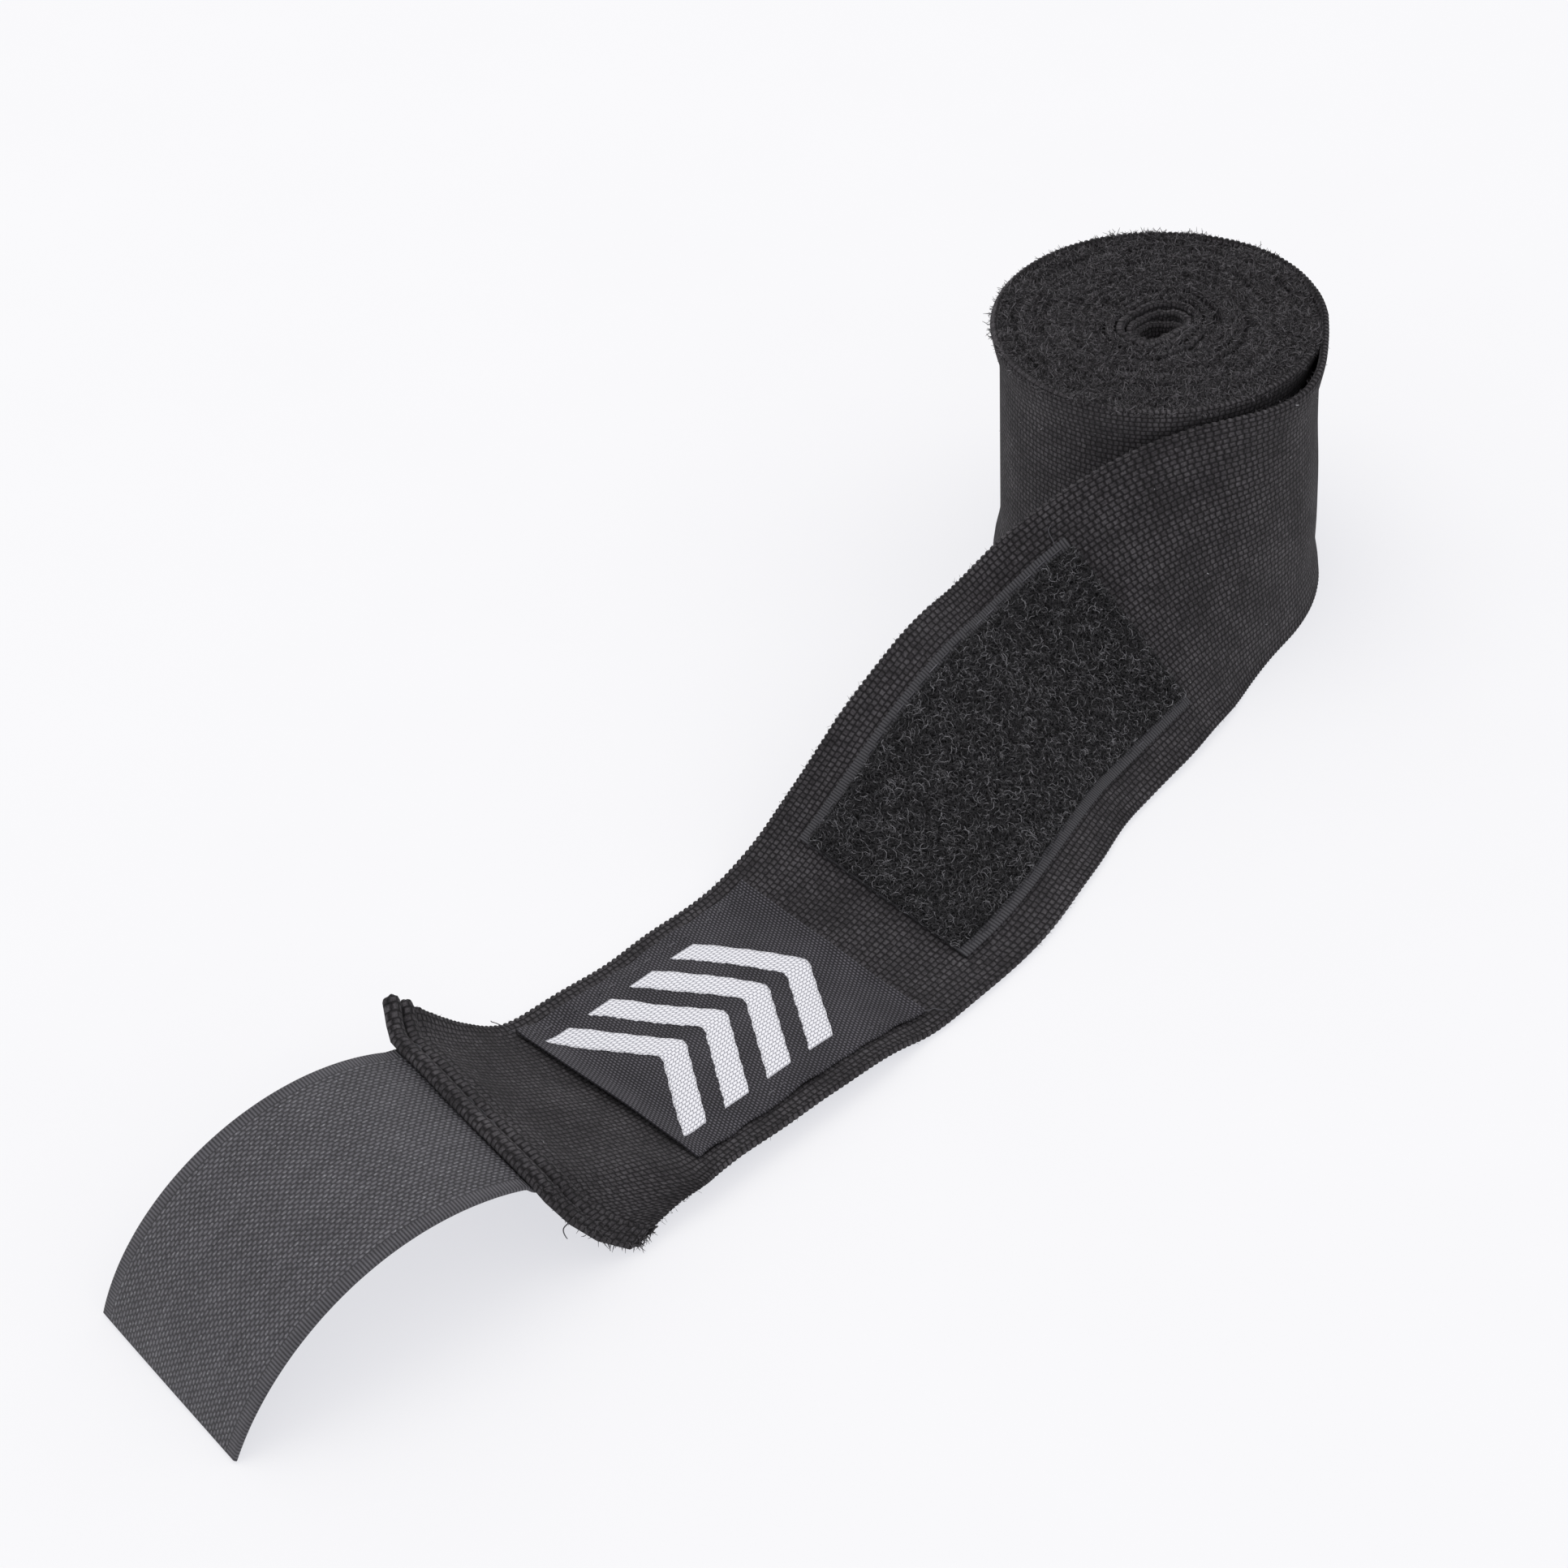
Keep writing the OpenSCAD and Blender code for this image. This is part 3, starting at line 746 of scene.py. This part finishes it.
n_hair = 9500
for k in range(5):
    hu = 360 * TURNS * (1 - np.sqrt(rng.uniform(0.02, 1, n_hair))) + 40
    hp = turn_place(hu, np.full(n_hair, 24.6)) + rng.normal(size=(n_hair, 3)) * [0.4, 0.4, 0.1]
    hp[:, 2] += 0.25
    hd = unit(rng.normal(size=(n_hair, 3)) * [0.9, 0.9, 0.2] + [0, 0, 0.15])
    hd[:, 2] = np.abs(hd[:, 2])
    fuzz = hairs(f"roll_top_fuzz_{k + 1}", hp, hd, rng.uniform(0.3, 0.8, n_hair),
                 rng.uniform(0.05, 0.08, n_hair), FUZZ, rng.uniform(0, 1, n_hair) ** 2, 1.2)
    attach(fuzz, "roll")

n_hair = 1500
hs = rng.uniform(-170, 225, n_hair)
sg = np.where(rng.uniform(size=n_hair) < 0.6, 1, -1)
hp = on_band(hs, sg * 25.0)
hd = unit(rng.normal(size=(n_hair, 3)))
hd[:, 2] = np.abs(hd[:, 2]) * np.where(sg > 0, 1, 0.2)
hl = rng.uniform(0.3, 0.9, n_hair) * np.where(hs < 0, 0.5, 1)
keep = hp[:, 2] > 0.8
tone = rng.uniform(0, 1, n_hair) ** 2
for name, body, low, high in (("roll_edge_fuzz", "roll", -170, -9),
                              ("tail_edge_fuzz", "tail", 9, 137),
                              ("end_edge_fuzz", "label_end", 151, 225)):
    k = keep & (hs > low) & (hs < high)
    o = hairs(name, hp[k], hd[k], hl[k], np.full(k.sum(), 0.035), FUZZ, tone[k])
    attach(o, body)


# ---------------------------------------------------------------- loop patch

TOP = BAND_T / 2


def loop_tape_relief(s, t):
    return 0.08 * np.abs(np.sin(math.pi * s / 1.2)) - 0.04


patch_s = fine_steps(PATCH_S, PATCH_S + PATCH_LEN, 0.45 * Q)
patch_t = fine_steps(-TAPE_W / 2 + 0.2, TAPE_W / 2 - 0.2, 0.6)
wav = waves(5, 12, 40, 0.12)
loop_tape = cloth("loop_patch_tape", lambda s, t: band_place(s, t + 0 * s) +
                  (TOP + 0.28 + 0.12 * smooth(np.abs(t), 16.5, 18.3)
                   + wav(s, t))[..., None] * read(NORMAL, s),
                  patch_s, patch_t, lambda s, t: 0.22 + 0 * t, LOOP_TAPE, loop_tape_relief)
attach(loop_tape, "tail")
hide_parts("loop_tape")

PILE_T, PILE_MARGIN = 16.2, 0.3
pile_bump = waves(22, 1.6, 6, 0.12)
pile_s = fine_steps(PATCH_S + PILE_MARGIN, PATCH_S + PATCH_LEN - PILE_MARGIN, 0.55 * Q)
pile_t = fine_steps(-PILE_T, PILE_T, 0.6)
pile_base = cloth("loop_pile_ground", lambda s, t: band_place(s, t)
                  + (TOP + 0.85 + 0 * t)[..., None] * read(NORMAL, s),
                  pile_s, pile_t, lambda s, t: 0.3 + 0 * t, PILE_BASE,
                  lambda s, t: 0.15 + pile_bump(s, t))
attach(pile_base, "tail")
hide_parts("loop_pile")

K = 5200
for part in range(8):
    bs = rng.uniform(PATCH_S + 0.2, PATCH_S + PATCH_LEN - 0.2, K)
    bt = rng.uniform(-PILE_T, PILE_T, K)
    a = np.linspace(0, 1, 7)
    way = rng.uniform(0, 2 * math.pi, K)
    wide = rng.uniform(0.4, 1.6, K)
    tall = rng.uniform(0.35, 1.3, K) + 0.8 * pile_bump(bs, bt)
    curl = rng.uniform(-0.9, 0.9, K)
    x = wide[:, None] * (a - 0.5) + curl[:, None] * np.sin(3 * math.pi * a) * 0.35
    y = curl[:, None] * np.sin(2 * math.pi * a) + 0.2 * np.sin(5 * a + way[:, None])
    z = 0.85 + tall[:, None] * np.sin(math.pi * a) ** 0.8
    ps = bs[:, None] + x * np.cos(way)[:, None] - y * np.sin(way)[:, None]
    pt = bt[:, None] + x * np.sin(way)[:, None] + y * np.cos(way)[:, None]
    ps = np.clip(ps, PATCH_S - 0.3, PATCH_S + PATCH_LEN + 0.3)
    pt = np.clip(pt, -PILE_T - 0.5, PILE_T + 0.5)
    path = on_band(ps, pt, TOP + z)
    tone = np.where(rng.uniform(size=K) < 0.24, rng.uniform(0.25, 1.0, K), rng.uniform(0, 0.12, K))
    pile = threads(f"loop_pile_fibres_{part + 1}", path, rng.uniform(0.032, 0.055, K), PILE, tone,
                   3, 0.2)
    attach(pile, "tail")
    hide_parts("loop_pile")


# ---------------------------------------------------------------- sewing

def running(name, along, body, points, radius, lift=0.12, tone=0.3):
    """Stitches of a sewn line: points is a list of (s0, s1, t0, t1, n) ends of each stitch."""
    p = np.array(points, float)
    a = np.linspace(0, 1, 7)
    s = p[:, 0, None] * (1 - a) + p[:, 1, None] * a
    t = p[:, 2, None] * (1 - a) + p[:, 3, None] * a
    n = p[:, 4, None] + lift * np.sin(math.pi * a) - 0.12 * (1 - np.sin(math.pi * a) ** 0.5)
    o = threads(name, along(s, t, n), radius, THREAD,
                np.clip(rng.normal(tone, 0.2, len(p)), 0, 1), 4, 0.35)
    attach(o, body)
    return o


def line_s(s0, s1, t, n, pitch=3.0, share=0.74, jig=0.12):
    k = int((s1 - s0) / pitch)
    at = s0 + (np.arange(k) + 0.5) * (s1 - s0) / k
    j = rng.normal(0, jig, k)
    half = pitch * share / 2
    return [(c - half, c + half, t + d, t + d * 0.6, n) for c, d in zip(at, j)]


def line_t(t0, t1, s, n, pitch=3.0, share=0.74, jig=0.12):
    k = int((t1 - t0) / pitch)
    at = t0 + (np.arange(k) + 0.5) * (t1 - t0) / k
    j = rng.normal(0, jig, k)
    half = pitch * share / 2
    return [(s + d, s + d * 0.6, c - half, c + half, n) for c, d in zip(at, j)]


edge = TAPE_W / 2 - 1.3
n_patch = TOP + 0.62
pts = (line_s(PATCH_S + 1, PATCH_S + PATCH_LEN - 1, edge, n_patch)
       + line_s(PATCH_S + 1, PATCH_S + PATCH_LEN - 1, -edge, n_patch)
       + line_t(-edge + 1, edge - 1, PATCH_S + 1.5, n_patch)
       + line_t(-edge + 1, edge - 1, PATCH_S + PATCH_LEN - 1.5, n_patch))
sew_patch = running("loop_patch_stitches", on_band, "tail", pts, 0.13, 0.04, 0.1)
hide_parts("loop_stitching")


# ---------------------------------------------------------------- label

lab_wave = waves(5, 15, 45, 0.10)
pucker_wave = waves(7, 3, 9, 0.13)


def label_n(s, t):
    """Height of the label over the band's middle: its hem-side edge is lifted a little."""
    lift = 0.9 * smooth(s, 194, 200) ** 2 * (0.6 + 0.4 * np.cos(t / 9))
    tuck = -0.2 * np.exp(-((np.abs(t) - 19.3) / 0.6)**2)
    pucker = pucker_wave(s, np.sign(t) * 30) * smooth(np.abs(t), 19.2, 20.6)
    return TOP + 0.42 + lift + tuck + lab_wave(s, t) + pucker


def label_place(s, t):
    t = t + 1.2 * pucker_wave(s, np.sign(t) * 60) * smooth(np.abs(t), 18.5, 21.3)
    return band_place(s, t) + label_n(s, t)[..., None] * read(NORMAL, s)


def label_half(s, t):
    return 0.17 + 0.08 * smooth(np.abs(t), 20.4, 20.9) + 0.1 * smooth(s, 151.6, 150.8)


label = cloth("label_cloth", label_place, fine_steps(LABEL_S + 0.1, LABEL_S + LABEL_LEN - 0.1, 0.42 * Q),
              fine_steps(-LABEL_W / 2 + 0.2, LABEL_W / 2 - 0.2, 0.5), label_half, SATIN)
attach(label, "label_end")
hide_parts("label")

# Generic woven motif: a stack of chevrons, stepped by the woven grid
CHEVRONS, CHEVRON_GAP, CHEVRON_HALF = 4, 9, 2.5
GRID, CHEVRON_SLOPE = 0.42, 0.62


def chevron_place(at):
    def place(q, t):
        row = np.round(np.abs(t) / GRID) * GRID
        s = at + np.round(row * CHEVRON_SLOPE / GRID) * GRID + q
        return label_place(s, t) + 0.19 * read(NORMAL, s)
    return place


motif_verts, motif_quads, motif_tris, motif_straps = [], [], [], []
base = 0
for k in range(CHEVRONS):
    at = LABEL_S + 8 + CHEVRON_GAP * k
    v, f, own, tr = strip(chevron_place(at), np.linspace(-CHEVRON_HALF, CHEVRON_HALF, 7),
                          fine_steps(-16.6, 16.6, GRID), lambda s, t: 0.09 + 0 * t, None, 2, 4)
    own = own.copy()
    own[:, 0] += at
    motif_verts.append(v)
    motif_quads.append(f + base)
    motif_tris.append(tr + base)
    motif_straps.append(own)
    base += len(v)
motif = make_mixed("label_motif_thread", np.vstack(motif_verts), np.vstack(motif_quads),
                   np.vstack(motif_tris), MOTIF, np.vstack(motif_straps))
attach(motif, "label_end")
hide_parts("label_motif")

label_seam = LABEL_W / 2 - 2.2


def on_label(s, t, n):
    return on_band(s, t, n) + (label_n(s, t) + 0.22)[..., None] * read(NORMAL, s) \
        + drift(s, t)[..., None] * read(NORMAL, s)


pts = (line_s(LABEL_S + 1, LABEL_S + LABEL_LEN - 1, label_seam, 0.0, 2.6)
       + line_s(LABEL_S + 1, LABEL_S + LABEL_LEN - 1, -label_seam, 0.0, 2.6))
sew_label = running("label_stitches", on_label, "label_end", pts, 0.15, 0.08, 0.3)
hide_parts("label_stitching")

pts = line_t(-17.5, 17.5, HEM_S - 2.1, 0.35, 2.8) + line_t(-17.5, 17.5, HEM_S - 5.2, 0.4, 2.8)
sew_hem = running("hem_stitches", on_band, "label_end", pts, 0.13, 0.05, 0.03)
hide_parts("hem_stitching")


# ---------------------------------------------------------------- hook tab

TAB_LEN = TAB_R * math.radians(TAB_TURN)


def tape_relief(s, t):
    j = np.floor(t / 0.62)
    dots = np.abs(np.sin(math.pi * (s / 1.15 + 0.5 * np.mod(j, 2)))) * np.abs(np.sin(math.pi * t / 0.62))
    edge_ = smooth(np.abs(t), TAPE_W / 2 - 2.5, TAPE_W / 2 - 2.1)
    return 0.13 * dots ** 0.8 * (1 - edge_) + edge_ * (0.06 * np.abs(np.sin(math.pi * s / 0.55)) - 0.12)


def tab_place(d, t):
    arch = 1.5 * np.sin(math.pi * np.clip(d / TAB_LEN, 0, 1)) * (0.6 + 0.5 * t / 18.5)
    return on_tab(d, t, arch + 0.12 * np.sin(d / 9.0 + t / 14.0))


tab = cloth("hook_tape_cloth", tab_place, fine_steps(-11.5, TAB_LEN, 1.15 / 4 * Q),
            fine_steps(-TAPE_W / 2 + 0.4, TAPE_W / 2 - 0.4, 0.31), lambda s, t: 0.36 + 0 * t,
            HOOK_TAPE, tape_relief, under_every=4)
bend_start = on_tab(0.0, 0.0) * 0.001 - 0.001 * np.array(TAB_OUT)
bend_end = on_tab(6.0, 0.0) * 0.001
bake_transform(tab)
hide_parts("hook_tape", "hook_tape_root")

# Hooks in staggered rows: each is a straight stem with an arc at its end
HOOK_STEP, HOOK_ROW, HOOK_STEM, HOOK_R = 1.35, 1.25, 0.62, 0.36
STEM_SHARE, HOOK_TURN = 0.3, 1.25 * math.pi
hook_d, hook_t = np.meshgrid(np.arange(4, TAB_LEN - 2, HOOK_STEP), np.arange(-15, 15.1, HOOK_ROW),
                             indexing="ij")
hook_d = hook_d + 0.67 * (np.round(hook_t / HOOK_ROW) % 2)
hook_t, hook_d = hook_t.ravel(), hook_d.ravel()
k = len(hook_d)
a = np.array([0, 0.3, 0.55, 0.75, 0.9, 1.0])
ang = HOOK_TURN * np.clip((a - STEM_SHARE) / (1 - STEM_SHARE), 0, 1)
hx = np.where(a <= STEM_SHARE, 0, HOOK_R * (1 - np.cos(ang)))
hz = np.where(a <= STEM_SHARE, a / STEM_SHARE * HOOK_STEM, HOOK_STEM + HOOK_R * np.sin(ang))
turned = np.where(np.arange(k) % 2 == 0, 1, -1) * (1 + rng.normal(0, 0.08, k))
path = on_tab(hook_d[:, None] + turned[:, None] * hx[None],
              hook_t[:, None] + rng.normal(0, 0.06, k)[:, None] + 0 * hx[None],
              -0.32 - hz[None] + 0 * hook_d[:, None])
hooks = threads("hook_filaments", path, 0.11, HOOKS, rng.uniform(0, 1, k), 4, 0.0)
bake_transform(hooks)
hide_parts("hook_field")


# ---------------------------------------------------------------- thumb loop, in the core

CORE = turn_r(np.array(360.0 * TURNS)) - BAND_T / 2 - 0.4
RUN, LOOP_TURN = 4.2, math.radians(30)
r0 = float(CORE) - RUN / 2 - 0.45


def loop_place(d, z):
    """The flattened loop of tape: two straight runs joined by half circles."""
    half, arc = RUN, math.pi * r0
    d = np.mod(d, 2 * (half + arc))
    side = np.where(d < half + arc, 1.0, -1.0)
    e = np.mod(d, half + arc)
    on_run = e < half
    x = np.where(on_run, e - half / 2, half / 2 + r0 * np.sin((e - half) / r0))
    y = np.where(on_run, -r0, -r0 * np.cos((e - half) / r0))
    x, y = x * side, y * side
    c, q = math.cos(LOOP_TURN), math.sin(LOOP_TURN)
    return np.stack([ROLL_AT[0] + c * x - q * y, ROLL_AT[1] + q * x + c * y, 25 + z], -1)


whole = 2 * (RUN + math.pi * r0)
loop = cloth("thumb_loop_tape", loop_place, np.linspace(0, whole - 0.05, 90), fine_steps(-7.2, 7.2, 0.6),
             lambda s, t: 0.4 + 0 * t, LOOP_TAPE)
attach(loop, "roll")
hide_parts("thumb_loop")
bar = [(-1.3, 1.3, -r0 - 0.45, -r0 - 0.45, z) for z in (-4.0, 0.0, 4.0)]


def on_core(s, t, n):
    c, q = math.cos(LOOP_TURN), math.sin(LOOP_TURN)
    return np.stack([ROLL_AT[0] + c * s + q * t, ROLL_AT[1] + q * s - c * t, 25 + n], -1)


bartack = running("thumb_loop_stitches", on_core, "roll", bar, 0.15, 0.0)
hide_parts("thumb_loop_stitching")


# ---------------------------------------------------------------- loose threads

def loose(name, body, s, t, n, length, lean, colour=0.3, radius=0.1):
    a = np.linspace(0, 1, 14)
    o = on_band(s, t, n)
    w = rng.uniform(0, 6.28, 3)
    p = np.stack([o[0] + length * a * lean[0] + 0.5 * np.sin(5 * a + w[0]) * a,
                  o[1] + length * a * lean[1] + 0.5 * np.sin(6 * a + w[1]) * a,
                  o[2] + length * a * lean[2] + 0.35 * np.sin(7 * a + w[2]) * a], -1)
    p[:, 2] = np.maximum(p[:, 2], 0.25)
    th = threads(name, p[None], radius, THREAD, np.array([colour]), 4, 0.2)
    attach(th, body)
    return th


loose("loose_thread_patch", "tail", PATCH_S + 2, 18.6, 1.2, 4.5, (0.3, 0.6, 0.6))
loose("loose_thread_label", "label_end", 200, 21.6, 1.2, 5.0, (-0.4, 0.8, 0.4))
loose("loose_thread_low", "label_end", 150.5, -21.6, 1.2, 4.5, (0.5, -0.7, 0.3))
loose("loose_thread_hem", "label_end", 228, -21, -1.2, 4.0, (-0.7, -0.5, -0.2), 0.2)


# The hem's cut corner frays, and a few specks of lint lie on the knit
n_hair = 700
hs = 230 - np.abs(rng.normal(0, 2.2, n_hair))
ht = -25.2 + np.abs(rng.normal(0, 2.6, n_hair))
hp = on_band(hs, ht, rng.uniform(-1.0, 0.5, n_hair))
hd = unit(rng.normal(size=(n_hair, 3)) + [-0.7, -0.5, 0])
fray = hairs("hem_corner_fray", hp, hd, rng.uniform(0.3, 1.1, n_hair), np.full(n_hair, 0.07),
             FUZZ, rng.uniform(0, 0.5, n_hair), 1.0)
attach(fray, "label_end")

n_hair = 90
hs = rng.uniform(-150, 228, n_hair)
ht = rng.uniform(-24, 24, n_hair)
hp = on_band(hs, ht, BAND_T / 2 + 0.1)
hd = unit(rng.normal(size=(n_hair, 3)) * [1, 1, 0.3])
tone = rng.uniform(0, 1, n_hair) ** 2
for name, body, low, high in (("roll_lint", "roll", -151, -9), ("tail_lint", "tail", 9, 64),
                              ("end_lint", "label_end", 202, 229)):
    k = (hs > low) & (hs < high)
    lint = hairs(name, hp[k], hd[k], rng.uniform(0.25, 0.6, k.sum()), np.full(k.sum(), 0.07),
                 LINT, tone[k], 0.5)
    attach(lint, body)


# ---------------------------------------------------------------- stage

floor_m = Nodes("floor_white", (0.285, 0.28, 0.24), 0.95, Specular_IOR_Level=0.0,
                Emission_Color=(0.935, 0.942, 1.0, 1), Emission_Strength=0.69)
fine = floor_m.noise(floor_m.object_mm(), 0.02, 2.0)
floor_m.colour(floor_m.ramp(fine, [(0.3, (0.288, 0.282, 0.256)), (0.7, (0.294, 0.288, 0.262))]))
me = bpy.data.meshes.new("floor")
me.from_pydata([(-4, -4, 0), (4, -4, 0), (4, 4, 0), (-4, 4, 0)], [], [(0, 1, 2, 3)])
me.materials.append(floor_m.m)
floor = bpy.data.objects.new("floor", me)
bpy.context.scene.collection.objects.link(floor)


def area(name, at, size, power, aim=(0, 0, 0.02), colour=(1, 1, 1)):
    light = bpy.data.lights.new(name, "AREA")
    light.shape = "DISK"
    light.size = size
    light.energy = power
    light.color = colour
    o = bpy.data.objects.new(name, light)
    o.location = at
    o.rotation_mode = "QUATERNION"
    o.rotation_quaternion = (Vector(aim) - Vector(at)).to_track_quat("-Z", "Y")
    bpy.context.scene.collection.objects.link(o)
    return o


world = bpy.data.worlds.new("studio")
world.use_nodes = True
world.node_tree.nodes["Background"].inputs[0].default_value = (0.965, 0.963, 1.0, 1)
world.node_tree.nodes["Background"].inputs[1].default_value = 0.86
bpy.context.scene.world = world
area("key", (-0.15, 0.45, 1.5), 1.3, 5.5, colour=(1.0, 0.99, 0.96))
area("fill", (0.7, -0.7, 1.1), 1.2, 1.6)

bpy.context.scene.view_settings.view_transform = "Standard"
bpy.context.scene.view_settings.look = "None"

cam_data = bpy.data.cameras.new("camera")
cam_data.sensor_width = 36.0
cam_data.lens = 73.7
cam_data.clip_start, cam_data.clip_end = 0.01, 20
cam = bpy.data.objects.new("camera", cam_data)
# The camera stands where the photograph's did. It is tipped about its view by a few degrees,
# so its right side is given apart from the way it looks.
CAMERA_AT = [-0.2692, -0.2995, 0.3676]
CAMERA_AHEAD = [0.5068, 0.5629, -0.6529]
CAMERA_RIGHT = [0.714, -0.6985, -0.048]
ahead = unit(np.array(CAMERA_AHEAD))
right = np.array(CAMERA_RIGHT)
right = unit(right - (right @ ahead) * ahead)
up = np.cross(right, ahead)
m = np.eye(4)
m[:3, 0], m[:3, 1], m[:3, 2] = right, up, -ahead
m[:3, 3] = CAMERA_AT
cam.matrix_world = Matrix(m.tolist())
bpy.context.scene.collection.objects.link(cam)
bpy.context.scene.camera = cam
